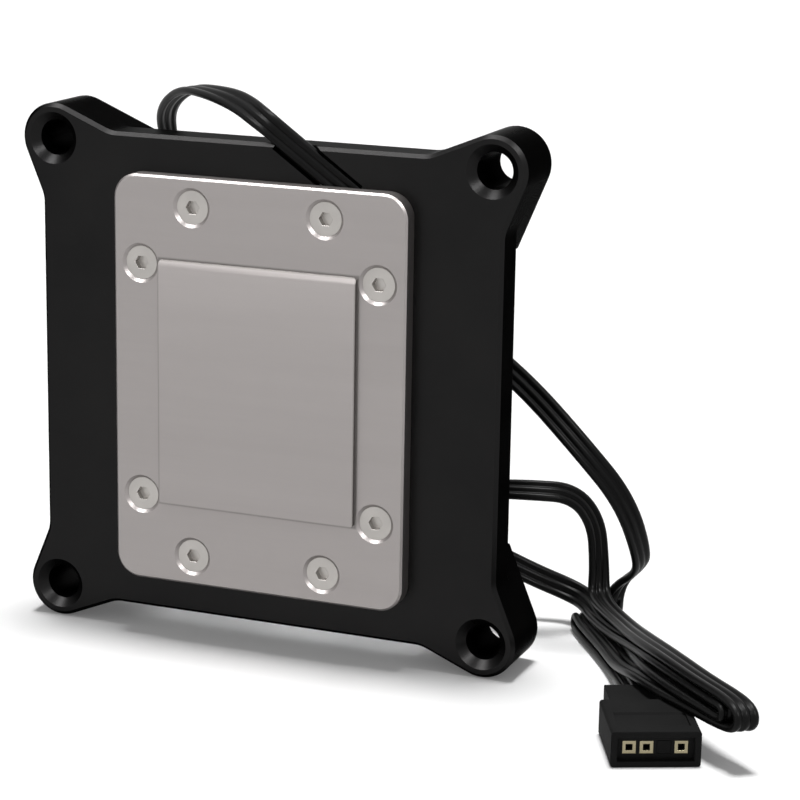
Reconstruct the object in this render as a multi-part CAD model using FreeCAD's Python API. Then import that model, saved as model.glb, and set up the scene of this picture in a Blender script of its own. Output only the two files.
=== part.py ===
import FreeCAD, Part
import math
import os

# A square liquid cooling block for a processor, standing on two of its ears with the cold plate
# facing -Y. X runs to the right, Z is up, and Z = 0 is the surface the block and its cable lie on.
# The origin is below the middle of the block, the cable left aside.

V = FreeCAD.Vector
along_y = V(0, 1, 0)
tolerance = 0.001

# Frame
hole_spacing = 75.0
ear_radius = 5.6
ear_depth = 11.8
ear_reach = 13.5
edge_past_holes_x = 2.1
edge_past_holes_z = 1.8
frame_depth = 6.3
flank_angle = 22.5
flank_fillet = 5.0
frame_bevel = 0.6
back_bevel = 0.4
ear_bore_radius = 2.9
ear_sink_radius = 4.2

# Cold plate
screw_to_edge_x = 4.7
screw_to_edge_z = 4.75
plate_depth = 3.0
plate_corner = 4.0
plate_bevel = 0.35
pedestal_width = 34.0
pedestal_height = 40.0
pedestal_step = 0.8
pedestal_corner = 0.6
pedestal_ramp_depth = 0.45
pedestal_ramp_run = 1.1
fin_thickness = 0.4
fin_gap = 0.4
fin_side_room = 0.8
fin_end_room = 6.5
fin_height = 2.5

# Plate screws, in four pairs about the middle
inner_screw_x = 11.4
outer_screw_z = 19.1
ring_to_screw_x = 0.6
ring_to_screw_z = 1.8
screw_radius = 1.5
screw_hole_radius = 1.65
screw_sink_radius = 3.2
screw_length = 10.0
screw_sink = 0.45
hex_across = 2.0
hex_depth = 1.1

# Clear top
opening_lap_x = 1.2
opening_lap_z = 1.35
opening_corner = 3.2
boss_clearance = 0.2
flange_clearance = 0.3
top_past_plate_x = 4.9
top_past_plate_z = 1.15
top_depth = 13.7
top_corner = 6.0
top_bevel = 0.8
chamber_width = 31.0
chamber_height = 45.0
chamber_corner = 2.0
port_spacing = 26.0
port_drop = 7.0
port_radius = 5.9
port_depth = 8.0
port_face_radius = 9.6
port_face_depth = 0.5
inlet_channel_width = 8.0
outlet_channel_width = 6.0
outlet_channel_inset = 5.0
outlet_channel_depth = 4.0

# Seal
ring_section = 1.5
ring_groove_width = 2.1
ring_squeeze = 0.05
ring_wall = 0.55
ring_corner = 3.0

# Jet plate and flow insert
jet_gap = 0.05
jet_depth = 0.8
jet_slot_side_room = 2.5
jet_slot_width = 1.2
insert_clearance = 0.2
insert_depth = 1.6
nozzle_width = 5.0
return_window_height = 3.4

# Lighting
led_end_clearance = 1.0
led_pocket_height = 1.25
led_board_length = 40.0
led_board_width = 4.3
led_board_thickness = 0.5
led_count = 5
led_size = 2.0
led_height = 0.55
capacitor_length = 1.0
capacitor_width = 0.6
capacitor_height = 0.5
capacitor_offset = 2.4

# Cable
ribbon_width = 3.9
ribbon_thickness = 1.3
ribbon_play = 0.1
groove_side_play = 0.5
groove_cross_x = 4.2
groove_angle = 145.0
groove_inner_run = 13.2
ribbon_out_run = 2.0
exit_run = 4.2
cable_radius = 1.3
hank_width = 6.4
hank_thickness = 5.1
hank_round = 1.3
hank_left = V(46.6, 23.5, 0)
hank_right = V(82.0, -14.2, 0)

# Plug
plug_front = V(73.6, -32.8, 0)
plug_turn = 25.0
plug_width = 13.2
plug_height = 5.5
plug_length = 13.4
plug_round = 0.5
neck_width = 9.4
neck_height = 4.5
neck_length = 9.0
mouth_width = 11.3
mouth_height = 3.6
mouth_depth = 1.0
contact_pitch = 2.54
contact_size = 2.0
contact_bore = 0.95
contact_length = 8.0
blank_position = 2
contact_positions = 4
lid_recess_width = 10.6
lid_recess_length = 5.2
lid_recess_depth = 0.3
lid_recess_from_mouth = 2.6

# Places worked out from the sizes above
block_depth = pedestal_step + plate_depth + frame_depth + top_depth
face_y = pedestal_step + plate_depth - block_depth / 2
centre_z = hole_spacing / 2 + ear_radius
half_hole = hole_spacing / 2
frame_width = hole_spacing + 2 * edge_past_holes_x
frame_height = hole_spacing + 2 * edge_past_holes_z
frame_back_y = face_y + frame_depth
top_back_y = frame_back_y + top_depth
plate_front_y = face_y - plate_depth
ring_width = chamber_width + 2 * ring_wall + ring_groove_width
ring_height = chamber_height + 2 * ring_wall + ring_groove_width
outer_screw_x = (ring_width + ring_groove_width) / 2 + ring_to_screw_x + screw_hole_radius
inner_screw_z = (ring_height + ring_groove_width) / 2 + ring_to_screw_z + screw_hole_radius
plate_width = 2 * (outer_screw_x + screw_to_edge_x)
plate_height = 2 * (inner_screw_z + screw_to_edge_z)
top_width = plate_width + 2 * top_past_plate_x
top_height = plate_height + 2 * top_past_plate_z
fin_length = chamber_height - 2 * fin_end_room
fin_pitch = fin_thickness + fin_gap
fin_count = math.floor((chamber_width - 2 * fin_side_room + fin_gap) / fin_pitch)
opening_width = plate_width - 2 * opening_lap_x
opening_height = plate_height - 2 * opening_lap_z
jet_y = face_y + fin_height + jet_gap
insert_y = jet_y + jet_depth
chamber_depth = insert_y + insert_depth - face_y
led_pitch = led_board_length / led_count
jet_slot_length = chamber_width - 2 * jet_slot_side_room
outlet_channel_x = chamber_width / 2 - outlet_channel_inset
outlet_channel_reach = (chamber_height - outlet_channel_width) / 2
ribbon_y = face_y + ribbon_play + ribbon_thickness / 2
groove_depth = ribbon_thickness + 2 * ribbon_play
groove_width = ribbon_width + 2 * groove_side_play
frame_top_z = centre_z + frame_height / 2
port_z = centre_z - port_drop

# Route of the cable's free stretches, point by point
lead_points = [
    V(-6.6, -3.4, 87.9),
    V(-13.4, 0.6, 88.6),
    V(-20.4, 5.6, 88.2),
    V(-26.4, 10.6, 84.6),
    V(-29.2, 15.6, 80.0),
    V(-28.6, 18.4, 73.4),
    V(-24.0, 18.8, 64.8),
    V(-14.4, 17.8, 58.6),
    V(-1.0, 17.6, 55.0),
    V(12.6, 17.0, 53.2),
    V(24.6, 17.0, 49.4),
    V(35.6, 16.0, 42.3),
    V(46.0, 14.0, 33.4),
    V(53.0, 16.4, 24.6),
    V(54.9, 21.2, 14.4),
    V(52.6, 26.6, 7.6),
    V(51.2, 30.0, 4.6),
    V(48.4, 30.6, 4.0),
    V(46.2, 28.9, 3.9),
    V(46.3, 26.3, 3.8),
]
lead_end = V(48.7, 23.8, 3.7)
loop_start = V(46.1, 21.7, 3.2)
loop_points = [
    V(42.6, 24.5, 4.3),
    V(35.0, 23.4, 9.0),
    V(27.4, 20.4, 12.4),
    V(24.2, 18.2, 18.4),
    V(28.6, 17.0, 23.8),
    V(36.4, 18.0, 24.6),
    V(43.4, 20.8, 23.6),
    V(46.9, 23.4, 17.4),
    V(48.4, 23.2, 10.8),
]
loop_end = V(48.8, 22.6, 4.4)
tail_points = [
    V(57.6, -1.8, 1.5),
    V(51.4, 9.0, 1.6),
    V(44.4, 18.9, 1.4),
    V(41.7, 21.9, 1.34),
    V(42.4, 24.9, 1.34),
    V(45.4, 25.4, 1.34),
]
tail_end = V(47.8, 23.0, 1.34)


def rounded_block(width, depth, height, radius, front_y, centre_x=0.0, middle_z=None):
    # A block with its four edges along Y rounded
    middle = centre_z if middle_z is None else middle_z
    corner = V(centre_x - width / 2, front_y, middle - height / 2)
    block = Part.makeBox(width, depth, height, corner)
    edges = [e for e in block.Edges if abs(e.tangentAt(e.FirstParameter).y) > 0.9]
    return block.makeFillet(radius, edges)


def rod(radius, start, length):
    return Part.makeCylinder(radius, length, start, along_y)


def right_cone(wide, narrow, start):
    # A countersink's right-angled cone: its depth is what its radius loses
    return Part.makeCone(wide, narrow, wide - narrow, start, along_y)


def edges_at_depth(shape, y):
    # Edges that lie whole in the plane Y = y
    return [e for e in shape.Edges if e.BoundBox.YLength < tolerance and abs(e.BoundBox.YMin - y) < tolerance]


def hole_centres():
    for side_x in (-1, 1):
        for side_z in (-1, 1):
            yield side_x, side_z


def ear_outline(side_x, side_z, y):
    # One ear: a round end, and two straight flanks that touch it and run in over the frame
    centre = V(side_x * half_hole, y, centre_z + side_z * half_hole)
    turn = math.radians(flank_angle)
    out = ear_radius * math.cos(turn)
    back = ear_radius * math.sin(turn)
    end_out = out - (ear_reach - back) * math.tan(turn)
    touch_a = centre + V(-side_x * back, 0, side_z * out)
    touch_b = centre + V(side_x * out, 0, -side_z * back)
    end_a = centre + V(-side_x * ear_reach, 0, side_z * end_out)
    end_b = centre + V(side_x * end_out, 0, -side_z * ear_reach)
    tip = centre + V(side_x, 0, side_z).normalize() * ear_radius
    inner = V(end_a.x, y, end_b.z)
    sides = [
        Part.LineSegment(end_a, touch_a).toShape(),
        Part.Arc(touch_a, tip, touch_b).toShape(),
        Part.LineSegment(touch_b, end_b).toShape(),
        Part.LineSegment(end_b, inner).toShape(),
        Part.LineSegment(inner, end_a).toShape(),
    ]
    return Part.Face(Part.Wire(sides))


def flank_corners(body):
    # Edges along Y where an ear's flank meets a straight side of the frame
    corners = []
    for edge in body.Edges:
        middle = edge.CenterOfMass
        on_side = abs(abs(middle.x) - frame_width / 2) < tolerance
        on_end = abs(abs(middle.z - centre_z) - frame_height / 2) < tolerance
        if edge.BoundBox.YLength > frame_depth / 2 and (on_side or on_end):
            corners.append(edge)
    return corners


def make_frame():
    body = Part.makeBox(frame_width, frame_depth, frame_height,
                        V(-frame_width / 2, face_y, centre_z - frame_height / 2))
    for side_x, side_z in hole_centres():
        blade = ear_outline(side_x, side_z, face_y)
        body = body.fuse(blade.extrude(along_y * frame_depth))
    body = body.removeSplitter()
    body = body.makeFillet(flank_fillet, flank_corners(body))
    body = body.makeChamfer(frame_bevel, edges_at_depth(body, face_y))
    body = body.makeChamfer(back_bevel, edges_at_depth(body, frame_back_y))
    for side_x, side_z in hole_centres():
        boss = ear_outline(side_x, side_z, face_y + frame_bevel)
        boss = boss.extrude(along_y * (ear_depth - frame_bevel))
        boss = boss.makeChamfer(back_bevel, edges_at_depth(boss, face_y + ear_depth))
        body = body.fuse(boss.cut(flange_room()))
    body = body.removeSplitter()
    for side_x, side_z in hole_centres():
        mouth = V(side_x * half_hole, face_y, centre_z + side_z * half_hole)
        body = body.cut(rod(ear_bore_radius, mouth, ear_depth))
        body = body.cut(right_cone(ear_sink_radius, ear_bore_radius, mouth))
    body = body.cut(rounded_block(opening_width, frame_depth, opening_height, opening_corner, face_y))
    body = body.cut(cable_groove())
    return body.cut(led_pocket())


def flange_room():
    # The space behind the frame that the clear top's flange takes, between the four bosses
    return rounded_block(top_width + 2 * flange_clearance, top_depth, top_height + 2 * flange_clearance,
                         top_corner + flange_clearance, frame_back_y)


def led_pocket():
    # Room for the light strip in the upper wall of the frame's opening, open at the back
    floor_z = centre_z + opening_height / 2
    led_pocket_length = led_board_length + 2 * led_end_clearance
    return Part.makeBox(led_pocket_length, frame_depth - groove_depth, led_pocket_height,
                        V(-led_pocket_length / 2, face_y + groove_depth, floor_z))


def groove_direction():
    turn = math.radians(groove_angle)
    return V(math.cos(turn), 0, math.sin(turn))


def groove_crossing(y):
    # Where the middle of the cable groove crosses the frame's top edge
    return V(groove_cross_x, y, frame_top_z)


def ribbon_prism(width, thickness, y, inner_run, outer_run):
    # A flat bar along the groove, from inside the opening to past the frame's top edge
    heading = groove_direction()
    across = V(-heading.z, 0, heading.x)
    start = groove_crossing(y) - heading * inner_run
    corner = start - across * (width / 2) - V(0, thickness / 2, 0)
    points = [corner, corner + across * width, corner + across * width + V(0, thickness, 0),
              corner + V(0, thickness, 0), corner]
    face = Part.Face(Part.makePolygon(points))
    return face.extrude(heading * (inner_run + outer_run))


def cable_groove():
    return ribbon_prism(groove_width, groove_depth, face_y + groove_depth / 2, groove_inner_run, ribbon_out_run)


def screw_places():
    for side_x, side_z in hole_centres():
        yield side_x * inner_screw_x, centre_z + side_z * inner_screw_z
        yield side_x * outer_screw_x, centre_z + side_z * outer_screw_z


def make_cold_plate():
    plate = rounded_block(plate_width, plate_depth, plate_height, plate_corner, plate_front_y)
    plate = plate.makeChamfer(plate_bevel, edges_at_depth(plate, plate_front_y))
    pedestal = rounded_block(pedestal_width, pedestal_step, pedestal_height, pedestal_corner,
                             plate_front_y - pedestal_step)
    plate = plate.fuse(pedestal.cut(pedestal_ramp()))
    first_x = -((fin_count - 1) * fin_pitch + fin_thickness) / 2
    fins = [Part.makeBox(fin_thickness, fin_height, fin_length,
                         V(first_x + i * fin_pitch, face_y, centre_z - fin_length / 2))
            for i in range(fin_count)]
    plate = plate.fuse(fins)
    for x, z in screw_places():
        seat = V(x, plate_front_y, z)
        plate = plate.cut(rod(screw_hole_radius, seat, plate_depth))
        plate = plate.cut(right_cone(screw_sink_radius, screw_hole_radius, seat))
    return plate


def pedestal_ramp():
    # The wedge that slopes the top of the contact face back towards the plate
    front = plate_front_y - pedestal_step
    top = centre_z + pedestal_height / 2
    left = -pedestal_width / 2
    points = [V(left, front, top - pedestal_ramp_run), V(left, front, top),
              V(left, front + pedestal_ramp_depth, top), V(left, front, top - pedestal_ramp_run)]
    return Part.Face(Part.makePolygon(points)).extrude(V(pedestal_width, 0, 0))


def make_screw(x, z):
    # Countersunk screw with a hexagon socket, its head a little below the plate's face
    face = V(x, plate_front_y + screw_sink, z)
    screw = right_cone(screw_sink_radius - screw_sink, screw_radius, face)
    screw = screw.fuse(rod(screw_radius, face, screw_length))
    corner_radius = hex_across / math.sqrt(3)
    corners = [face + V(corner_radius * math.cos(math.radians(60 * i)), 0,
                        corner_radius * math.sin(math.radians(60 * i))) for i in range(7)]
    socket = Part.Face(Part.makePolygon(corners)).extrude(along_y * hex_depth)
    return screw.removeSplitter().cut(socket)


def make_screws():
    return Part.makeCompound([make_screw(x, z) for x, z in screw_places()])


def ring_path(y):
    outline = rounded_block(ring_width, 1.0, ring_height, ring_corner, y)
    return Part.Wire(Part.__sortEdges__(edges_at_depth(outline, y)))


def ring_groove():
    outer = rounded_block(ring_width + ring_groove_width, ring_section + ring_squeeze,
                          ring_height + ring_groove_width, ring_corner + ring_groove_width / 2, face_y)
    inner = rounded_block(ring_width - ring_groove_width, ring_section + ring_squeeze,
                          ring_height - ring_groove_width, ring_corner - ring_groove_width / 2, face_y)
    return outer.cut(inner)


def make_ring():
    middle_y = face_y + (ring_section + ring_squeeze) / 2
    path = ring_path(middle_y)
    start = V(0, middle_y, centre_z + ring_height / 2)
    section = Part.Wire(Part.makeCircle(ring_section / 2, start, V(1, 0, 0)))
    half = path.Edges
    straight = [e for e in half if abs(e.CenterOfMass.x) < 0.01 and e.CenterOfMass.z > centre_z][0]
    ordered = Part.__sortEdges__([straight] + [e for e in half if not e.isSame(straight)])
    ring = Part.Wire(ordered).makePipeShell([section], True, False)
    return ring


def obround(width, depth, x1, z1, x2, z2, front_y):
    # A milled slot with round ends, from one point to another
    first = V(x1, front_y, z1)
    last = V(x2, front_y, z2)
    heading = (last - first).normalize()
    side = V(-heading.z, 0, heading.x) * (width / 2)
    corners = [first + side, last + side, last - side, first - side, first + side]
    slot = Part.Face(Part.makePolygon(corners)).extrude(along_y * depth)
    return slot.fuse([rod(width / 2, first, depth), rod(width / 2, last, depth)])


def port_centres():
    return [V(side * port_spacing / 2, top_back_y, port_z) for side in (-1, 1)]


def make_top():
    flange = rounded_block(top_width, top_depth, top_height, top_corner, frame_back_y)
    flange = flange.makeChamfer(top_bevel, edges_at_depth(flange, top_back_y))
    boss = rounded_block(opening_width - 2 * boss_clearance, frame_depth, opening_height - 2 * boss_clearance,
                         opening_corner - boss_clearance, face_y)
    body = flange.fuse(boss).removeSplitter()
    body = body.cut(cable_groove())
    body = body.cut(rounded_block(chamber_width, chamber_depth, chamber_height, chamber_corner, face_y))
    body = body.cut(ring_groove())
    for x, z in screw_places():
        hole_depth = screw_length + screw_sink - plate_depth + screw_radius
        body = body.cut(rod(screw_radius, V(x, face_y, z), hole_depth))
    roof_y = face_y + chamber_depth
    port_floor_y = top_back_y - port_depth
    inlet, outlet = port_centres()
    body = body.cut(obround(inlet_channel_width, port_floor_y - roof_y, inlet.x, inlet.z, 0, centre_z, roof_y))
    body = body.cut(obround(outlet_channel_width, outlet_channel_depth, outlet_channel_x,
                            centre_z - outlet_channel_reach, outlet_channel_x,
                            centre_z + outlet_channel_reach, roof_y))
    body = body.cut(rod(outlet_channel_width / 2, V(outlet.x, roof_y, outlet.z), port_floor_y - roof_y))
    for port in port_centres():
        body = body.cut(rod(port_radius, port - along_y * port_depth, port_depth))
        body = body.cut(rod(port_face_radius, port - along_y * port_face_depth, port_face_depth))
    return body


def make_jet_plate():
    plate = rounded_block(chamber_width - insert_clearance, jet_depth, chamber_height - insert_clearance,
                          chamber_corner - insert_clearance / 2, jet_y)
    half_slot = jet_slot_length / 2 - jet_slot_width / 2
    plate = plate.cut(obround(jet_slot_width, jet_depth, -half_slot, centre_z, half_slot, centre_z, jet_y))
    return plate.cut(return_windows(jet_y, jet_depth))


def return_windows(y, depth):
    # Openings past both ends of the fins, where the water turns back
    offset = (fin_length + return_window_height) / 2 + jet_slot_width
    upper, lower = [rounded_block(jet_slot_length, depth, return_window_height, chamber_corner / 2, y,
                                  middle_z=centre_z + side * offset) for side in (1, -1)]
    return upper.fuse(lower)


def make_flow_insert():
    # Feeds the slot of the jet plate and keeps the return water apart
    insert = rounded_block(chamber_width - insert_clearance, insert_depth, chamber_height - insert_clearance,
                           chamber_corner - insert_clearance / 2, insert_y)
    half_nozzle = jet_slot_length / 2 - nozzle_width / 2
    throat = obround(jet_slot_width, insert_depth, -jet_slot_length / 2 + jet_slot_width / 2, centre_z,
                     jet_slot_length / 2 - jet_slot_width / 2, centre_z, insert_y)
    mouth = obround(nozzle_width, insert_depth / 2, -half_nozzle, centre_z, half_nozzle, centre_z,
                    insert_y + insert_depth / 2)
    insert = insert.cut(throat)
    insert = insert.cut(mouth)
    return insert.cut(return_windows(insert_y, insert_depth))


def led_board_place():
    # The strip's lower front left corner: it hangs from the pocket's ceiling
    ceiling = centre_z + opening_height / 2 + led_pocket_height
    return V(-led_board_length / 2, face_y + groove_depth, ceiling - led_board_thickness)


def make_led_board():
    return Part.makeBox(led_board_length, led_board_width, led_board_thickness, led_board_place())


def led_centres():
    board = led_board_place()
    first_x = -(led_count - 1) * led_pitch / 2
    for i in range(led_count):
        yield V(first_x + i * led_pitch, board.y + led_board_width / 2, board.z)


def make_leds():
    return Part.makeCompound([Part.makeBox(led_size, led_size, led_height,
                                           c - V(led_size / 2, led_size / 2, led_height))
                              for c in led_centres()])


def make_led_capacitors():
    parts = []
    for c in led_centres():
        corner = c + V(capacitor_offset - capacitor_length / 2, -capacitor_width / 2, -capacitor_height)
        parts.append(Part.makeBox(capacitor_length, capacitor_width, capacitor_height, corner))
    return Part.makeCompound(parts)


def lead_exit():
    # The flat cable's end above the frame, and the first point of the route straight on from it
    start = groove_crossing(ribbon_y) + groove_direction() * ribbon_out_run
    return [start, start + groove_direction() * exit_run]


def plug_exit():
    # The middle of the plug's rear face, and the first point straight behind it
    turn = math.radians(plug_turn)
    rearward = V(-math.sin(turn), math.cos(turn), 0)
    start = plug_front + rearward * (plug_length + neck_length) + V(0, 0, neck_height / 2)
    return [start, start + rearward * exit_run]


def bent_path(points, name):
    # Straight runs joined by tangent arcs as large as the two runs beside each point allow
    edges = []
    at = points[0]
    radii = []
    for before, corner, after in zip(points, points[1:], points[2:]):
        come = (before - corner).normalize()
        go = (after - corner).normalize()
        turn = math.pi - come.getAngle(go)
        cut = 0.45 * min(before.distanceToPoint(corner), corner.distanceToPoint(after))
        radius = cut / math.tan(turn / 2)
        enter = corner + come * cut
        leave = corner + go * cut
        bisector = (come + go).normalize()
        centre = corner + bisector * math.hypot(radius, cut)
        middle = centre - bisector * radius
        edges.append(Part.LineSegment(at, enter).toShape())
        edges.append(Part.Arc(enter, middle, leave).toShape())
        radii.append(round(radius, 1))
        at = leave
    edges.append(Part.LineSegment(at, points[-1]).toShape())
    print(name, "radii", radii)
    return Part.Wire(edges)


def make_tube(points, name):
    path = bent_path(points, name)
    heading = points[1] - points[0]
    section = Part.Wire(Part.makeCircle(cable_radius, points[0], heading))
    tube = path.makePipeShell([section], True, True)
    expected = math.pi * cable_radius ** 2 * path.Length
    print(name, "length", round(path.Length, 1), "volume over section times length",
          round(tube.Volume / expected, 4))
    return tube


def make_hank():
    # The folded cable's outer shape, lying on the floor
    run = hank_right - hank_left
    block = Part.makeBox(run.Length, hank_width, hank_thickness, V(0, -hank_width / 2, 0))
    block = block.makeFillet(hank_round, [e for e in block.Edges if abs(e.tangentAt(e.FirstParameter).x) > 0.9])
    block.rotate(V(0, 0, 0), V(0, 0, 1), math.degrees(math.atan2(run.y, run.x)))
    block.translate(hank_left)
    return block


def place_on_plug(shape):
    # From the plug's own axes, mouth at Y = 0 and body towards +Y, to where it lies
    shape.rotate(V(0, 0, 0), V(0, 0, 1), plug_turn)
    shape.translate(plug_front)
    return shape


def contact_centre(position):
    return V((position - (contact_positions - 1) / 2) * contact_pitch, mouth_depth, plug_height / 2)


def make_plug_housing():
    body = Part.makeBox(plug_width, plug_length, plug_height, V(-plug_width / 2, 0, 0))
    body = body.makeFillet(plug_round, [e for e in body.Edges if abs(e.tangentAt(e.FirstParameter).y) > 0.9])
    neck = Part.makeBox(neck_width, neck_length, neck_height, V(-neck_width / 2, plug_length, 0))
    body = body.fuse(neck)
    body = body.cut(Part.makeBox(mouth_width, mouth_depth, mouth_height,
                                 V(-mouth_width / 2, 0, (plug_height - mouth_height) / 2)))
    body = body.cut(Part.makeBox(lid_recess_width, lid_recess_length, lid_recess_depth,
                                 V(-lid_recess_width / 2, lid_recess_from_mouth, plug_height - lid_recess_depth)))
    for position in range(contact_positions):
        c = contact_centre(position)
        body = body.cut(Part.makeBox(contact_size, contact_length, contact_size,
                                     c - V(contact_size / 2, 0, contact_size / 2)))
    return place_on_plug(body)


def make_plug_contacts():
    sockets = []
    for position in range(contact_positions):
        if position == blank_position:
            continue
        c = contact_centre(position)
        socket = Part.makeBox(contact_size, contact_length, contact_size,
                              c - V(contact_size / 2, 0, contact_size / 2))
        bore = Part.makeBox(contact_bore, contact_length - contact_bore, contact_bore,
                            c - V(contact_bore / 2, 0, contact_bore / 2))
        sockets.append(socket.cut(bore))
    return place_on_plug(Part.makeCompound(sockets))


def make_plug_blank():
    c = contact_centre(blank_position)
    return place_on_plug(Part.makeBox(contact_size, contact_length, contact_size,
                                      c - V(contact_size / 2, 0, contact_size / 2)))


def main():
    hank = make_hank()
    pieces = {
        "frame": make_frame(),
        "cold_plate": make_cold_plate(),
        "cold_plate_screws": make_screws(),
        "clear_top": make_top(),
        "main_o_ring": make_ring(),
        "jet_plate": make_jet_plate(),
        "flow_insert": make_flow_insert(),
        "led_board": make_led_board(),
        "leds": make_leds(),
        "led_capacitors": make_led_capacitors(),
        "cable_flat": ribbon_prism(ribbon_width, ribbon_thickness, ribbon_y, groove_inner_run, ribbon_out_run),
        "cable_lead": make_tube(lead_exit() + lead_points + [lead_end], "cable_lead").cut(hank),
        "cable_loop": make_tube([loop_start] + loop_points + [loop_end], "cable_loop").cut(hank),
        "cable_tail": make_tube(plug_exit() + tail_points + [tail_end], "cable_tail").cut(hank),
        "cable_hank": hank,
        "plug_housing": make_plug_housing(),
        "plug_contacts": make_plug_contacts(),
        "plug_blank": make_plug_blank(),
    }
    os.makedirs("parts", exist_ok=True)
    for name, shape in pieces.items():
        print(name, "solids", len(shape.Solids), "valid", shape.isValid(), "volume", round(shape.Volume, 1))
        shape.exportStep(os.path.join("parts", name + ".step"))


main()
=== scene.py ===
import math
import bmesh
import bpy
import numpy as np
from mathutils import Matrix, Vector


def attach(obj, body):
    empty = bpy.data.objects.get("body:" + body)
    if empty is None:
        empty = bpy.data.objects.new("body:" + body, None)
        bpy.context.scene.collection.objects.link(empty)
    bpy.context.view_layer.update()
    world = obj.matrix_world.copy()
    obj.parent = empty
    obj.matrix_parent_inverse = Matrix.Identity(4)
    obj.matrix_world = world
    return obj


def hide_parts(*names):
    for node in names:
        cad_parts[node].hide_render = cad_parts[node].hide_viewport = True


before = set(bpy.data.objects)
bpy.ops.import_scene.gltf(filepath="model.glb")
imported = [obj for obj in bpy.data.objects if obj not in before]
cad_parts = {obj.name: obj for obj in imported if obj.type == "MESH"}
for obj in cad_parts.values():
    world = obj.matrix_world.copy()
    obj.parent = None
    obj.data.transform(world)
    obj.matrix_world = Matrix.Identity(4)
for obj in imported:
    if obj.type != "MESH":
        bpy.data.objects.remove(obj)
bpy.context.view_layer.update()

print("frame loaded", len(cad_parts), "nodes")


# camera at the photograph's angle
camera = {
    "place": (0.16792, -0.37361, 0.14138),
    "right": (0.9281591, 0.3718283, 0.0162602),
    "up": (-0.1043110, 0.2179468, 0.9703703),
    "forward": (-0.3572673, 0.9023541, -0.2410751),
    "lens": 117.0,
    "sensorWidth": 36.0,
    "clip": (0.01, 20.0),
}


def placeCamera(cam):
    data = bpy.data.cameras.new("photoCamera")
    data.lens = cam["lens"]
    data.sensor_width = cam["sensorWidth"]
    data.sensor_fit = "AUTO"
    data.clip_start, data.clip_end = cam["clip"]
    obj = bpy.data.objects.new("photoCamera", data)
    right, up, forward = (Vector(cam[k]) for k in ("right", "up", "forward"))
    turn = Matrix((right, up, -forward)).transposed().to_4x4()
    obj.matrix_world = Matrix.Translation(cam["place"]) @ turn
    bpy.context.collection.objects.link(obj)
    bpy.context.scene.camera = obj


placeCamera(camera)


def newGroup(name, inputs, outputs):
    group = bpy.data.node_groups.new(name, "ShaderNodeTree")
    for label, kind, value in inputs:
        socket = group.interface.new_socket(label, in_out="INPUT", socket_type=kind)
        socket.default_value = value
    for label, kind in outputs:
        group.interface.new_socket(label, in_out="OUTPUT", socket_type=kind)
    return group, group.nodes.new("NodeGroupInput"), group.nodes.new("NodeGroupOutput")


def addNode(tree, kind, **settings):
    node = tree.nodes.new(kind)
    for key, value in settings.items():
        setattr(node, key, value)
    return node


def rangeNode(tree, source, low, high):
    # low + (high - low) * source
    node = addNode(tree, "ShaderNodeMapRange")
    node.inputs["To Min"].default_value = low
    node.inputs["To Max"].default_value = high
    tree.links.new(source, node.inputs["Value"])
    return node.outputs["Result"]


noise = {
    "fineDetail": 3.0,
    "slowDetail": 4.0,
    "strokeDetail": 4.0,
    "toneDetail": 2.0,
    "toneShare": 0.12,
}


def grainGroup():
    # height = noise(place * scale), tone = slow noise(place * toneScale)
    group, start, end = newGroup("fineGrain",
        [("Vector", "NodeSocketVector", (0, 0, 0)), ("Grain Scale", "NodeSocketFloat", 5000.0),
         ("Tone Scale", "NodeSocketFloat", 60.0)],
        [("Height", "NodeSocketFloat"), ("Tone", "NodeSocketFloat")])
    link = group.links.new
    fine = addNode(group, "ShaderNodeTexNoise")
    fine.inputs["Detail"].default_value = noise["fineDetail"]
    slow = addNode(group, "ShaderNodeTexNoise")
    slow.inputs["Detail"].default_value = noise["slowDetail"]
    for node, scale in ((fine, "Grain Scale"), (slow, "Tone Scale")):
        link(start.outputs["Vector"], node.inputs["Vector"])
        link(start.outputs[scale], node.inputs["Scale"])
    link(fine.outputs["Fac"], end.inputs["Height"])
    link(slow.outputs["Fac"], end.inputs["Tone"])
    return group


def brushGroup():
    # height = noise(place * stretch * scale), tone = noise(place * stretch * scale * toneShare)
    group, start, end = newGroup("brushStrokes",
        [("Vector", "NodeSocketVector", (0, 0, 0)), ("Stretch", "NodeSocketVector", (1, 1, 1)),
         ("Stroke Scale", "NodeSocketFloat", 900.0)],
        [("Height", "NodeSocketFloat"), ("Tone", "NodeSocketFloat")])
    link = group.links.new
    stretch = addNode(group, "ShaderNodeVectorMath", operation="MULTIPLY")
    link(start.outputs["Vector"], stretch.inputs[0])
    link(start.outputs["Stretch"], stretch.inputs[1])
    for label, detail, factor in (("Height", noise["strokeDetail"], 1.0),
                                  ("Tone", noise["toneDetail"], noise["toneShare"])):
        size = addNode(group, "ShaderNodeMath", operation="MULTIPLY")
        link(start.outputs["Stroke Scale"], size.inputs[0])
        size.inputs[1].default_value = factor
        strokes = addNode(group, "ShaderNodeTexNoise")
        strokes.inputs["Detail"].default_value = detail
        link(stretch.outputs["Vector"], strokes.inputs["Vector"])
        link(size.outputs["Value"], strokes.inputs["Scale"])
        link(strokes.outputs["Fac"], end.inputs[label])
    return group


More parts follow.
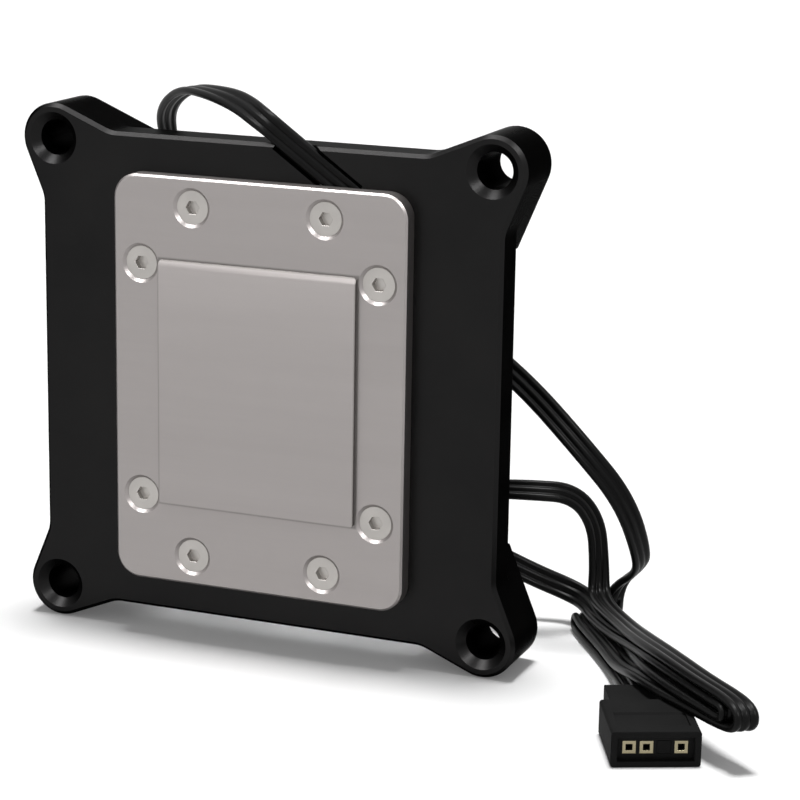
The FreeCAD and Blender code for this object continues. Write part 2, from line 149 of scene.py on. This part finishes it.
def outlineGroup():
    # painted shade at the root of the pedestal's step: mask = 1 - |max(|x - mid x| - half x, |z - mid
    # z| - half z)| / line width, held within 0 to 1
    group, start, end = newGroup("stepShadeOutline",
        [("Vector", "NodeSocketVector", (0, 0, 0)), ("Middle", "NodeSocketVector", (0, 0, 0)),
         ("Half Size", "NodeSocketVector", (1, 1, 1)), ("Line Width", "NodeSocketFloat", 0.0003)],
        [("Mask", "NodeSocketFloat")])
    link = group.links.new
    fromMiddle = addNode(group, "ShaderNodeVectorMath", operation="SUBTRACT")
    link(start.outputs["Vector"], fromMiddle.inputs[0])
    link(start.outputs["Middle"], fromMiddle.inputs[1])
    folded = addNode(group, "ShaderNodeVectorMath", operation="ABSOLUTE")
    link(fromMiddle.outputs["Vector"], folded.inputs[0])
    beyond = addNode(group, "ShaderNodeVectorMath", operation="SUBTRACT")
    link(folded.outputs["Vector"], beyond.inputs[0])
    link(start.outputs["Half Size"], beyond.inputs[1])
    split = addNode(group, "ShaderNodeSeparateXYZ")
    link(beyond.outputs["Vector"], split.inputs["Vector"])
    larger = addNode(group, "ShaderNodeMath", operation="MAXIMUM")
    link(split.outputs["X"], larger.inputs[0])
    link(split.outputs["Z"], larger.inputs[1])
    away = addNode(group, "ShaderNodeMath", operation="ABSOLUTE")
    link(larger.outputs[0], away.inputs[0])
    edge = addNode(group, "ShaderNodeMapRange")
    edge.inputs["To Min"].default_value = 1.0
    edge.inputs["To Max"].default_value = 0.0
    link(away.outputs[0], edge.inputs["Value"])
    link(start.outputs["Line Width"], edge.inputs["From Max"])
    link(edge.outputs["Result"], end.inputs["Mask"])
    return group


grain = grainGroup()
brush = brushGroup()
outline = outlineGroup()


def newMaterial(name, **sockets):
    mat = bpy.data.materials.new(name)
    mat.use_nodes = True
    shader = mat.node_tree.nodes["Principled BSDF"]
    for label, value in sockets.items():
        shader.inputs[label.replace("_", " ")].default_value = value
    return mat, mat.node_tree, shader


def toneColour(tree, shader, source, dark, light):
    # colour between dark and light by the source's value
    mix = addNode(tree, "ShaderNodeMix", data_type="RGBA")
    mix.inputs["A"].default_value = (*dark, 1)
    mix.inputs["B"].default_value = (*light, 1)
    tree.links.new(source, mix.inputs["Factor"])
    tree.links.new(mix.outputs["Result"], shader.inputs["Base Color"])


def bumpFrom(tree, shader, source, strength, depth):
    bump = addNode(tree, "ShaderNodeBump")
    bump.inputs["Strength"].default_value = strength
    bump.inputs["Distance"].default_value = depth
    tree.links.new(source, bump.inputs["Height"])
    tree.links.new(bump.outputs["Normal"], shader.inputs["Normal"])


def objectPlace(tree):
    return addNode(tree, "ShaderNodeTexCoord").outputs["Object"]


def grainFinish(name, settings):
    # Material with fine grain: colour between dark and light, roughness low to high
    mat, tree, shader = newMaterial(name, **settings.get("sockets", {}))
    cell = addNode(tree, "ShaderNodeGroup", node_tree=grain)
    tree.links.new(objectPlace(tree), cell.inputs["Vector"])
    cell.inputs["Grain Scale"].default_value = settings["grainScale"]
    cell.inputs["Tone Scale"].default_value = settings["toneScale"]
    toneColour(tree, shader, cell.outputs["Tone"], settings["dark"], settings["light"])
    rough = rangeNode(tree, cell.outputs["Tone"], *settings["roughness"])
    tree.links.new(rough, shader.inputs["Roughness"])
    bumpFrom(tree, shader, cell.outputs["Height"], settings["bump"], settings["depth"])
    return mat


def brushedFinish(name, settings):
    # Metal with long strokes: the strokes vary roughness and height, the slow tone varies colour
    mat, tree, shader = newMaterial(name, **settings.get("sockets", {}))
    cell = addNode(tree, "ShaderNodeGroup", node_tree=brush)
    tree.links.new(objectPlace(tree), cell.inputs["Vector"])
    cell.inputs["Stretch"].default_value = settings["stretch"]
    cell.inputs["Stroke Scale"].default_value = settings["strokeScale"]
    toneColour(tree, shader, cell.outputs["Tone"], settings["dark"], settings["light"])
    rough = rangeNode(tree, cell.outputs["Height"], *settings["roughness"])
    tree.links.new(rough, shader.inputs["Roughness"])
    bumpFrom(tree, shader, cell.outputs["Height"], settings["bump"], settings["depth"])
    # painted shade: a thin dark line around the pedestal's step on the plate face
    if "outline" in settings:
        paintStepShade(tree, shader, settings["outline"])
    return mat


def paintStepShade(tree, shader, setting):
    # Painted shade: the colour goes toward the dark line's colour where the outline's mask is 1, as
    # shade at the root of the pedestal's step
    mask = addNode(tree, "ShaderNodeGroup", node_tree=outline)
    tree.links.new(objectPlace(tree), mask.inputs["Vector"])
    mask.inputs["Middle"].default_value = setting["middle"]
    mask.inputs["Half Size"].default_value = setting["half"]
    mask.inputs["Line Width"].default_value = setting["width"]
    under = shader.inputs["Base Color"].links[0].from_socket
    mix = addNode(tree, "ShaderNodeMix", data_type="RGBA")
    mix.inputs["B"].default_value = setting["line"]
    tree.links.new(under, mix.inputs["A"])
    tree.links.new(mask.outputs["Mask"], mix.inputs["Factor"])
    tree.links.new(mix.outputs["Result"], shader.inputs["Base Color"])


dressing = {
    "mergeDistance": 2e-6,
    "flatAngle": 0.6,
    "smoothAngle": 35.0,
    "bevelSegments": 2,
    "bevelAngle": 40.0,
}


def smoothed(obj, angle):
    # Smooth shading, broken where two faces meet at more than the angle
    mesh = obj.data
    mesh.shade_smooth()
    bm = bmesh.new()
    bm.from_mesh(mesh)
    for edge in bm.edges:
        edge.smooth = len(edge.link_faces) == 2 and edge.calc_face_angle() < math.radians(angle)
    bm.to_mesh(mesh)
    bm.free()


def dressed(node, settings, mat):
    # A joined copy of the CAD node with small rounded edges, which stands for it
    source = bpy.data.objects[node]
    mesh = source.data.copy()
    mesh.name = node + "_dressed"
    bm = bmesh.new()
    bm.from_mesh(mesh)
    bmesh.ops.remove_doubles(bm, verts=bm.verts, dist=dressing["mergeDistance"])
    bmesh.ops.dissolve_limit(bm, angle_limit=math.radians(dressing["flatAngle"]),
                             verts=bm.verts, edges=bm.edges)
    bm.to_mesh(mesh)
    bm.free()
    obj = bpy.data.objects.new(node + "_dressed", mesh)
    bpy.context.collection.objects.link(obj)
    mesh.materials.clear()
    mesh.materials.append(mat)
    smoothed(obj, dressing["smoothAngle"])
    if settings["bevel"]:
        round_ = obj.modifiers.new("edgeRound", "BEVEL")
        round_.width = settings["bevel"]
        round_.segments = dressing["bevelSegments"]
        round_.limit_method = "ANGLE"
        round_.angle_limit = math.radians(dressing["bevelAngle"])
        round_.harden_normals = True
        round_.use_clamp_overlap = True
    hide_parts(node)
    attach(obj, "root")
    return obj


# one flat three-wire ribbon from the groove to the plug
cable = {
    "halfWidth": 0.00195,
    "wireOffset": 0.0013,
    "wireRadius": 0.00065,
    "web": 0.00034,
    "length": 0.545,
    "resolution": 9,
    "profileSteps": 7,
    "edgeOffset": 0.002,
    "smoothAngle": 60.0,
    "exit": (0.0042, -0.00735, 0.0824),
    "hankLeft": (0.0452, 0.0222, 0.0),
    "hankAlong": (0.603, -0.7977, 0.0),
    "hankAcross": (0.7977, 0.603, 0.0),
}


def onHank(along, across, up):
    # A place in the hank: along its length from the left end, across it, and above the floor
    left, u, v = (np.array(cable[k]) for k in ("hankLeft", "hankAlong", "hankAcross"))
    return tuple(left + u * along + v * across + np.array((0.0, 0.0, up)))


def leaning(tilt):
    # Width direction of a run: across the hank, leaning up by tilt degrees
    lean = math.radians(tilt)
    return tuple(np.array(cable["hankAcross"]) * math.cos(lean) + np.array((0.0, 0.0, math.sin(lean))))


def hankRow(along, across, up, tilt):
    # A row of the hank, in millimetres and degrees
    return onHank(along / 1000, across / 1000, up / 1000), leaning(tilt)


# each row is a place on the route and the direction of the ribbon's width there
inGroove = [
    ((0.01501, -0.00735, 0.07483), (0.574, 0.0, 0.819)),
    ((0.00960, -0.00735, 0.07861), (0.574, 0.0, 0.819)),
    ((0.00420, -0.00735, 0.08240), (0.574, 0.0, 0.819)),
    ((0.002562, -0.00735, 0.083547), (0.574, 0.0, 0.819)),
]
lead = [
    ((-0.000879, -0.00735, 0.085956), (0.574, 0.10, 0.80)),
    ((-0.0066, -0.0034, 0.0879), (0.55, 0.45, 0.60)),
    ((-0.0134, 0.0006, 0.0886), (0.54, 0.75, 0.25)),
    ((-0.0204, 0.0056, 0.0882), (0.55, 0.80, 0.0)),
    ((-0.0264, 0.0106, 0.0846), (0.50, 0.84, 0.05)),
    ((-0.0292, 0.0156, 0.0800), (0.20, 0.95, 0.20)),
    ((-0.0286, 0.0184, 0.0734), (0.10, 0.97, 0.20)),
    ((-0.0240, 0.0188, 0.0648), (0.20, 0.94, 0.28)),
    ((-0.0144, 0.0178, 0.0586), (0.25, 0.85, 0.40)),
    ((-0.0010, 0.0176, 0.0550), (0.28, 0.75, 0.55)),
    ((0.0126, 0.0170, 0.0532), (0.35, 0.60, 0.68)),
    ((0.0246, 0.0170, 0.0494), (0.45, 0.48, 0.73)),
    ((0.0356, 0.0160, 0.0423), (0.52, 0.41, 0.75)),
    ((0.0460, 0.0140, 0.0334), (0.60, 0.40, 0.68)),
    ((0.0530, 0.0164, 0.0246), (0.65, 0.52, 0.50)),
    ((0.0551, 0.0212, 0.0138), (0.45, 0.80, 0.40)),
    ((0.0532, 0.0244, 0.0104), (0.30, 0.88, 0.38)),
    ((0.0500, 0.0264, 0.0076), (0.30, 0.92, 0.10)),
    ((0.0486, 0.0268, 0.0046), (0.60, 0.80, 0.00)),
    ((0.0488, 0.0246, 0.0026), (0.90, 0.40, 0.0)),
]
innerTurn = [
    hankRow(2.6, 2.7, 2.30, 4),
    hankRow(9.0, 2.6, 2.20, 4),
    hankRow(17.5, 1.9, 2.90, 4),
    hankRow(23.5, 0.4, 4.45, 2),
    hankRow(30.0, -1.4, 5.60, -4),
    hankRow(40.0, -3.2, 7.15, 2),
    hankRow(51.0, -2.7, 7.60, 2),
    hankRow(59.5, -0.8, 7.35, 0),
    hankRow(62.6, 0.0, 7.20, 0),
    hankRow(62.6, 0.2, 8.95, 0),
    hankRow(59.5, -0.3, 8.85, -2),
    hankRow(50.0, -1.8, 9.05, -4),
    hankRow(39.0, -2.4, 8.65, 2),
    hankRow(28.0, -1.0, 6.70, 6),
    hankRow(16.0, -0.3, 4.60, 8),
    hankRow(6.0, -0.2, 4.10, 6),
]
loop = [
    ((0.0461, 0.0217, 0.0046), (0.58, 0.52, 0.58)),
    ((0.0426, 0.0245, 0.0052), (0.45, 0.45, 0.78)),
    ((0.0350, 0.0234, 0.0078), (0.36, 0.37, 0.86)),
    ((0.0274, 0.0204, 0.0120), (0.25, 0.60, 0.75)),
    ((0.0242, 0.0182, 0.0184), (0.0, 0.98, 0.20)),
    ((0.0286, 0.0170, 0.0236), (-0.25, 0.85, 0.46)),
    ((0.0364, 0.0180, 0.0240), (-0.30, 0.70, 0.64)),
    ((0.0430, 0.0206, 0.0236), (0.05, 0.80, 0.60)),
    ((0.0462, 0.0232, 0.0184), (0.45, 0.86, 0.24)),
    ((0.0469, 0.0234, 0.0112), (0.55, 0.82, 0.12)),
]
outerTurn = [
    ((0.0472, 0.0226, 0.0067), (0.70, 0.70, 0.05)),
    hankRow(5.0, 1.1, 5.75, -4),
    hankRow(17.0, 0.6, 6.25, -6),
    hankRow(30.0, -1.5, 8.60, 2),
    hankRow(43.0, -2.1, 10.30, 0),
    hankRow(54.0, -1.1, 10.40, -3),
    hankRow(63.0, 0.7, 10.20, -3),
    hankRow(65.9, 1.2, 9.00, 0),
    hankRow(65.7, 1.1, 6.90, 0),
    hankRow(62.6, 0.5, 5.90, 0),
    hankRow(54.0, -2.2, 6.20, -2),
    hankRow(46.5, -4.0, 6.15, 0),
    hankRow(38.0, -4.5, 5.60, 0),
    hankRow(32.0, -3.8, 4.20, 2),
    hankRow(25.0, -2.8, 2.70, 4),
    hankRow(17.0, -1.8, 2.35, 0),
    hankRow(9.0, -1.4, 2.30, 0),
    hankRow(4.2, -1.2, 2.35, 0),
]
tail = [
    hankRow(0.4, -0.7, 2.80, 0),
    hankRow(0.4, -0.8, 0.62, 0),
    hankRow(4.8, -1.5, 0.70, 0),
    hankRow(15.5, -1.9, 0.75, 0),
    hankRow(26.0, -2.9, 0.90, 0),
    ((0.062358, -0.008692, 0.00225), (0.906, 0.423, 0.0)),
    ((0.064133, -0.012499, 0.00225), (0.906, 0.423, 0.0)),
]


def railPoints(name, places):
    # Points read from a NURBS spline of order 3 whose control points are the places
    data = bpy.data.curves.new(name, "CURVE")
    data.dimensions = "3D"
    data.resolution_u = cable["resolution"]
    spline = data.splines.new("NURBS")
    spline.points.add(len(places) - 1)
    flat = np.ones((len(places), 4))
    flat[:, :3] = places
    spline.points.foreach_set("co", flat.ravel())
    spline.order_u = 3
    spline.use_endpoint_u = True
    obj = bpy.data.objects.new(name, data)
    bpy.context.collection.objects.link(obj)
    bpy.context.view_layer.update()
    mesh = bpy.data.meshes.new_from_object(obj)
    line = np.empty(len(mesh.vertices) * 3)
    mesh.vertices.foreach_get("co", line)
    bpy.data.objects.remove(obj)
    bpy.data.meshes.remove(mesh)
    return line.reshape(-1, 3)


def ribbonProfile(setting):
    # Three wires side by side: height(x) = max(web, sqrt(r^2 - (x - wire)^2)), above and below
    reach = math.sqrt(setting["wireRadius"] ** 2 - setting["web"] ** 2) / setting["wireRadius"]
    low = math.acos(reach)
    inner = np.linspace(math.pi - low, low, setting["profileSteps"])
    lobes = [np.concatenate(([math.pi], inner)), inner, np.concatenate((inner, [0.0]))]
    r = setting["wireRadius"]
    x = np.concatenate([r * np.cos(a) + c * setting["wireOffset"] for a, c in zip(lobes, (-1, 0, 1))])
    y = np.concatenate([r * np.sin(a) for a in lobes])
    return np.concatenate((x, x[-2:0:-1])), np.concatenate((y, -y[-2:0:-1]))


def gridMesh(name, rings):
    # rings: count x around x 3; quads join each ring to the next, and one face closes each end
    count, around = rings.shape[:2]
    index = np.arange(count * around).reshape(count, around)
    nextIndex = np.roll(index, -1, axis=1)
    quads = np.stack((index[:-1], nextIndex[:-1], nextIndex[1:], index[1:]), axis=-1).reshape(-1, 4)
    faces = quads.tolist() + [index[0][::-1].tolist(), index[-1].tolist()]
    mesh = bpy.data.meshes.new(name)
    mesh.from_pydata(rings.reshape(-1, 3), [], faces)
    mesh.validate()
    obj = bpy.data.objects.new(name, mesh)
    bpy.context.collection.objects.link(obj)
    return obj


def faceOutward(obj):
    bm = bmesh.new()
    bm.from_mesh(obj.data)
    bmesh.ops.recalc_face_normals(bm, faces=bm.faces)
    bm.to_mesh(obj.data)
    bm.free()


def makeCable(mat):
    rows = inGroove + lead + innerTurn + loop + outerTurn + tail
    places = np.array([row[0] for row in rows])
    widths = np.array([row[1] for row in rows])
    widths /= np.linalg.norm(widths, axis=1)[:, None]
    centre = railPoints("route", places)
    edge = railPoints("routeEdge", places + widths * cable["edgeOffset"])
    # tangent from neighbours; width made square to it; thickness = tangent x width
    tangent = np.gradient(centre, axis=0)
    tangent /= np.linalg.norm(tangent, axis=1)[:, None]
    wide = edge - centre
    wide -= tangent * np.sum(wide * tangent, axis=1)[:, None]
    wide /= np.linalg.norm(wide, axis=1)[:, None]
    thick = np.cross(tangent, wide)
    x, y = ribbonProfile(cable)
    rings = centre[:, None] + wide[:, None] * x[None, :, None] + thick[:, None] * y[None, :, None]
    obj = gridMesh("cable_ribbon", rings)
    faceOutward(obj)
    obj.data.materials.append(mat)
    smoothed(obj, cable["smoothAngle"])
    length = float(np.sum(np.linalg.norm(np.diff(centre, axis=0), axis=1)))
    lowest = float(rings[..., 2].min())
    print("cable rings", len(centre), "length", round(length, 4), "lowest", round(lowest, 5))
    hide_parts("cable_flat", "cable_lead", "cable_loop", "cable_tail", "cable_hank")
    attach(obj, "root")
    return obj


finishes = {
    "frameBlack": {
        "dark": (0.011, 0.011, 0.0113), "light": (0.017, 0.0166, 0.0164),
        "grainScale": 7000.0, "toneScale": 70.0,
        "roughness": (0.30, 0.40), "bump": 0.22, "depth": 0.00004,
        "sockets": {"Metallic": 1.0, "Specular_Tint": (0.25, 0.25, 0.25, 1)},
    },
    "cableVinyl": {
        "dark": (0.002, 0.002, 0.002), "light": (0.005, 0.005, 0.005),
        "grainScale": 5000.0, "toneScale": 160.0,
        "roughness": (0.28, 0.38), "bump": 0.2, "depth": 0.00003,
        "sockets": {"Specular_IOR_Level": 0.09},
    },
    "plugNylon": {
        "dark": (0.012, 0.012, 0.012), "light": (0.018, 0.018, 0.018),
        "grainScale": 6000.0, "toneScale": 200.0,
        "roughness": (0.45, 0.58), "bump": 0.35, "depth": 0.00005,
        "sockets": {"Specular_IOR_Level": 0.005},
    },
    "sealRubber": {
        "dark": (0.010, 0.010, 0.010), "light": (0.016, 0.016, 0.016),
        "grainScale": 4000.0, "toneScale": 120.0,
        "roughness": (0.50, 0.62), "bump": 0.3, "depth": 0.00004,
        "sockets": {"Specular_IOR_Level": 0.30},
    },
    "insertPlastic": {
        "dark": (0.018, 0.018, 0.019), "light": (0.030, 0.030, 0.031),
        "grainScale": 4500.0, "toneScale": 150.0,
        "roughness": (0.38, 0.50), "bump": 0.3, "depth": 0.00004,
        "sockets": {"Specular_IOR_Level": 0.35},
    },
    "boardWhite": {
        "dark": (0.70, 0.70, 0.67), "light": (0.80, 0.80, 0.77),
        "grainScale": 3500.0, "toneScale": 300.0,
        "roughness": (0.34, 0.46), "bump": 0.2, "depth": 0.00003,
    },
    "capacitorTan": {
        "dark": (0.36, 0.24, 0.14), "light": (0.48, 0.33, 0.20),
        "grainScale": 6000.0, "toneScale": 900.0,
        "roughness": (0.40, 0.55), "bump": 0.2, "depth": 0.00002,
    },
    "clearAcrylic": {
        "dark": (0.955, 0.965, 0.970), "light": (0.985, 0.990, 0.992),
        "grainScale": 900.0, "toneScale": 40.0,
        "roughness": (0.015, 0.045), "bump": 0.04, "depth": 0.00002,
        "sockets": {"Transmission_Weight": 1.0, "IOR": 1.49},
    },
}
metals = {
    "platedFace": {
        "dark": (0.285, 0.266, 0.260), "light": (0.313, 0.292, 0.286),
        "stretch": (0.06, 1.0, 1.0), "strokeScale": 2600.0,
        "roughness": (0.36, 0.46), "bump": 0.06, "depth": 0.00002,
        # painted shade: the dark line's colour along the root of the pedestal's step
        "outline": {"middle": (0.0, 0.0, 0.0431), "half": (0.0171, 1.0, 0.0201),
                    "width": 0.00036, "line": (0.15, 0.141, 0.135, 1)},
        "sockets": {"Metallic": 1.0},
    },
    "screwSteel": {
        "dark": (0.34, 0.325, 0.31), "light": (0.44, 0.42, 0.40),
        "stretch": (1.0, 1.0, 1.0), "strokeScale": 1800.0,
        "roughness": (0.30, 0.42), "bump": 0.05, "depth": 0.00002,
        "sockets": {"Metallic": 1.0},
    },
    "jetSteel": {
        "dark": (0.50, 0.49, 0.47), "light": (0.58, 0.57, 0.55),
        "stretch": (1.0, 1.0, 0.05), "strokeScale": 2200.0,
        "roughness": (0.26, 0.36), "bump": 0.08, "depth": 0.00002,
        "sockets": {"Metallic": 1.0},
    },
    "contactGold": {
        "dark": (0.22, 0.195, 0.125), "light": (0.34, 0.30, 0.20),
        "stretch": (1.0, 1.0, 1.0), "strokeScale": 3000.0,
        "roughness": (0.20, 0.32), "bump": 0.05, "depth": 0.00002,
        "sockets": {"Metallic": 1.0},
    },
}
mats = {name: grainFinish(name, values) for name, values in finishes.items()}
mats.update({name: brushedFinish(name, values) for name, values in metals.items()})

ledLook = {
    "pitch": 0.008,
    "middleY": -0.00445,
    "windowRadius": 0.00072,
    "softness": 0.00008,
    "roughness": 0.35,
    "body": (0.78, 0.77, 0.72, 1),
    "window": (0.80, 0.66, 0.16, 1),
}


def ledFinish(setting):
    # White body with a round yellow window: distance = hypot(x wrapped to one pitch, y - middle)
    mat, tree, shader = newMaterial("ledBody", Roughness=setting["roughness"])
    link = tree.links.new
    split = addNode(tree, "ShaderNodeSeparateXYZ")
    link(objectPlace(tree), split.inputs["Vector"])
    wrap = addNode(tree, "ShaderNodeMath", operation="WRAP")
    link(split.outputs["X"], wrap.inputs[0])
    wrap.inputs[1].default_value = setting["pitch"] / 2
    wrap.inputs[2].default_value = -setting["pitch"] / 2
    fromMiddle = addNode(tree, "ShaderNodeMath", operation="SUBTRACT")
    link(split.outputs["Y"], fromMiddle.inputs[0])
    fromMiddle.inputs[1].default_value = setting["middleY"]
    flat = addNode(tree, "ShaderNodeCombineXYZ")
    link(wrap.outputs[0], flat.inputs["X"])
    link(fromMiddle.outputs[0], flat.inputs["Y"])
    away = addNode(tree, "ShaderNodeVectorMath", operation="LENGTH")
    link(flat.outputs["Vector"], away.inputs[0])
    edge = addNode(tree, "ShaderNodeMapRange")
    edge.inputs["From Min"].default_value = setting["windowRadius"] + setting["softness"]
    edge.inputs["From Max"].default_value = setting["windowRadius"] - setting["softness"]
    link(away.outputs["Value"], edge.inputs["Value"])
    mix = addNode(tree, "ShaderNodeMix", data_type="RGBA")
    mix.inputs["A"].default_value = setting["body"]
    mix.inputs["B"].default_value = setting["window"]
    link(edge.outputs["Result"], mix.inputs["Factor"])
    link(mix.outputs["Result"], shader.inputs["Base Color"])
    return mat


mats["ledBody"] = ledFinish(ledLook)

pieces = {
    "frame": {"mat": "frameBlack", "slot": "frame_black", "bevel": 0.00012},
    "cold_plate": {"mat": "platedFace", "slot": "nickel_plate", "bevel": 0.00006},
    "cold_plate_screws": {"mat": "screwSteel", "slot": "screw_steel", "bevel": 0.00008},
    "clear_top": {"mat": "clearAcrylic", "slot": "clear_acrylic", "bevel": 0.0},
    "main_o_ring": {"mat": "sealRubber", "slot": "seal_rubber", "bevel": 0.0},
    "jet_plate": {"mat": "jetSteel", "slot": "jet_steel", "bevel": 0.00005},
    "flow_insert": {"mat": "insertPlastic", "slot": "insert_plastic", "bevel": 0.0001},
    "led_board": {"mat": "boardWhite", "slot": "board_white", "bevel": 0.00005},
    "leds": {"mat": "ledBody", "slot": "led_body", "bevel": 0.00006},
    "led_capacitors": {"mat": "capacitorTan", "slot": "capacitor_tan", "bevel": 0.00004},
    "plug_housing": {"mat": "plugNylon", "slot": "plug_black", "bevel": 0.0002},
    "plug_contacts": {"mat": "contactGold", "slot": "contact_gold", "bevel": 0.00008},
    "plug_blank": {"mat": "plugNylon", "slot": "plug_black", "bevel": 0.00008},
}
for node, values in pieces.items():
    dressed(node, values, mats[values["mat"]])
print("pieces dressed")
makeCable(mats["cableVinyl"])
print("cable made")


portThread = {
    "places": {"threadLeft": -0.013, "threadRight": 0.013},
    "height": 0.0361,
    "deep": 0.0051,
    "pitch": 0.001337,
    "turns": 4.4,
    "stepsPerTurn": 40,
    "boreRadius": 0.00593,
    "crestRadius": 0.00545,
    "halfBase": 0.00052,
    "halfCrest": 0.00012,
    "smoothAngle": 40.0,
}


def makeThread(name, x, setting, mat):
    # Ridge along a helix, at turn t and profile point p:
    # (x, z) = middle + radius(p) * (cos 2 pi t, sin 2 pi t), y = deep + pitch * t + side(p)
    count = int(setting["turns"] * setting["stepsPerTurn"])
    turn = np.linspace(0.0, setting["turns"], count)[:, None]
    bore, crest = setting["boreRadius"], setting["crestRadius"]
    base, tip = setting["halfBase"], setting["halfCrest"]
    radius = np.array((bore, crest, crest, bore))
    side = np.array((-base, -tip, tip, base))
    angle = 2 * np.pi * turn
    rings = np.stack((x + radius * np.cos(angle), setting["deep"] + setting["pitch"] * turn + side,
                      setting["height"] + radius * np.sin(angle)), axis=-1)
    obj = gridMesh(name, rings)
    faceOutward(obj)
    obj.data.materials.append(mat)
    smoothed(obj, setting["smoothAngle"])
    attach(obj, "root")


for threadName, middle in portThread["places"].items():
    makeThread(threadName, middle, portThread, mats["clearAcrylic"])
print("port threads made")

stage = {
    "floorSize": 6.0,
    "floorColour": 0.90,
    "floorGlow": 0.10,
    "floorRoughness": 0.9,
    "worldLight": 0.24,
    "aim": (0.0, 0.0, 0.04),
}


def straightRays(tree):
    # 1 for camera, glossy and transmission rays, 0 for the rays that light a surface
    rays = addNode(tree, "ShaderNodeLightPath")
    either = addNode(tree, "ShaderNodeMath", operation="MAXIMUM")
    seen = addNode(tree, "ShaderNodeMath", operation="MAXIMUM")
    tree.links.new(rays.outputs["Is Camera Ray"], either.inputs[0])
    tree.links.new(rays.outputs["Is Glossy Ray"], either.inputs[1])
    tree.links.new(either.outputs[0], seen.inputs[0])
    tree.links.new(rays.outputs["Is Transmission Ray"], seen.inputs[1])
    return seen.outputs[0]


def makeFloor(setting):
    half = setting["floorSize"] / 2
    mesh = bpy.data.meshes.new("paleFloor")
    corners = [(-half, -half, 0), (half, -half, 0), (half, half, 0), (-half, half, 0)]
    mesh.from_pydata(corners, [], [(0, 1, 2, 3)])
    obj = bpy.data.objects.new("paleFloor", mesh)
    bpy.context.collection.objects.link(obj)
    mat, tree, shader = newMaterial("floorPaper", Roughness=setting["floorRoughness"],
                                    Specular_IOR_Level=0.0, Emission_Strength=1.0)
    shader.inputs["Base Color"].default_value = (*(setting["floorColour"],) * 3, 1)
    glow = addNode(tree, "ShaderNodeMath", operation="MULTIPLY")
    glow.inputs[1].default_value = setting["floorGlow"]
    tree.links.new(straightRays(tree), glow.inputs[0])
    tree.links.new(glow.outputs[0], shader.inputs["Emission Color"])
    mesh.materials.append(mat)


def makeWorld(setting):
    world = bpy.data.worlds.new("paleStudio")
    bpy.context.scene.world = world
    world.use_nodes = True
    tree = world.node_tree
    ground = tree.nodes["Background"]
    strength = rangeNode(tree, straightRays(tree), setting["worldLight"], 1.0)
    tree.links.new(strength, ground.inputs["Strength"])
    ground.inputs["Color"].default_value = (1, 1, 1, 1)


sun = {"toLight": (-0.01, 0.08, 0.99), "strength": 2.9, "angle": 14.0}
# the soft boxes light reflections only, so they leave the floor's shadow alone
softBoxes = {
    "edgeBox": {"place": (-0.42, -0.36, 1.10), "size": 0.46, "power": 12.0},
    "rampBox": {"place": (-0.43, -0.94, 0.66), "size": 0.40, "power": 1.8},
    "cornerBox": {"place": (0.66, -0.48, 0.86), "size": 0.30, "power": 7.0},
}


def makeSun(setting):
    data = bpy.data.lights.new("topSun", "SUN")
    data.energy = setting["strength"]
    data.angle = math.radians(setting["angle"])
    obj = bpy.data.objects.new("topSun", data)
    obj.rotation_euler = Vector(setting["toLight"]).to_track_quat("Z", "Y").to_euler()
    bpy.context.collection.objects.link(obj)


def makeSoftBox(name, setting):
    data = bpy.data.lights.new(name, "AREA")
    data.size = setting["size"]
    data.energy = setting["power"]
    obj = bpy.data.objects.new(name, data)
    obj.location = setting["place"]
    aim = Vector(stage["aim"]) - Vector(setting["place"])
    obj.rotation_euler = aim.to_track_quat("-Z", "Y").to_euler()
    obj.visible_diffuse = False
    bpy.context.collection.objects.link(obj)


makeFloor(stage)
makeWorld(stage)
makeSun(sun)
for name, values in softBoxes.items():
    makeSoftBox(name, values)
bpy.context.scene.view_settings.view_transform = "Standard"
